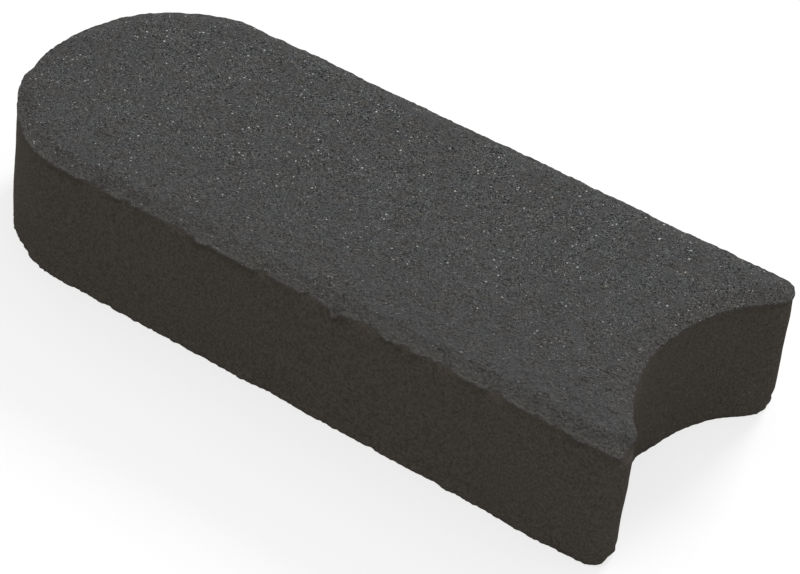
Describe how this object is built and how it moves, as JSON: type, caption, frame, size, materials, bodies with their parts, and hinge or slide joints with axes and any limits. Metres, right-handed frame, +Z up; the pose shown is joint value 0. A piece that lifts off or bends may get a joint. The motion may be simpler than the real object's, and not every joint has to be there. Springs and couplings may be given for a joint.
{
  "type": "concrete kerb stone",
  "caption": "Low solid kerb stone of dark pressed concrete, chamfered round its top, with one round end and one hollow end, so that a row nests end to end and follows curves as a lawn or path edge.",
  "frame": {"origin": "centre of the bed's outline box, on the bed", "axes": "+X along the length from the round end to the hollow end, +Y across the width, +Z up from the bed to the top face"},
  "size_m": [0.288, 0.12, 0.052],
  "materials": {
    "concrete": "matte"
  },
  "bodies": {
    "root": {"kerb_stone": "concrete"}
  },
  "joints": []
}
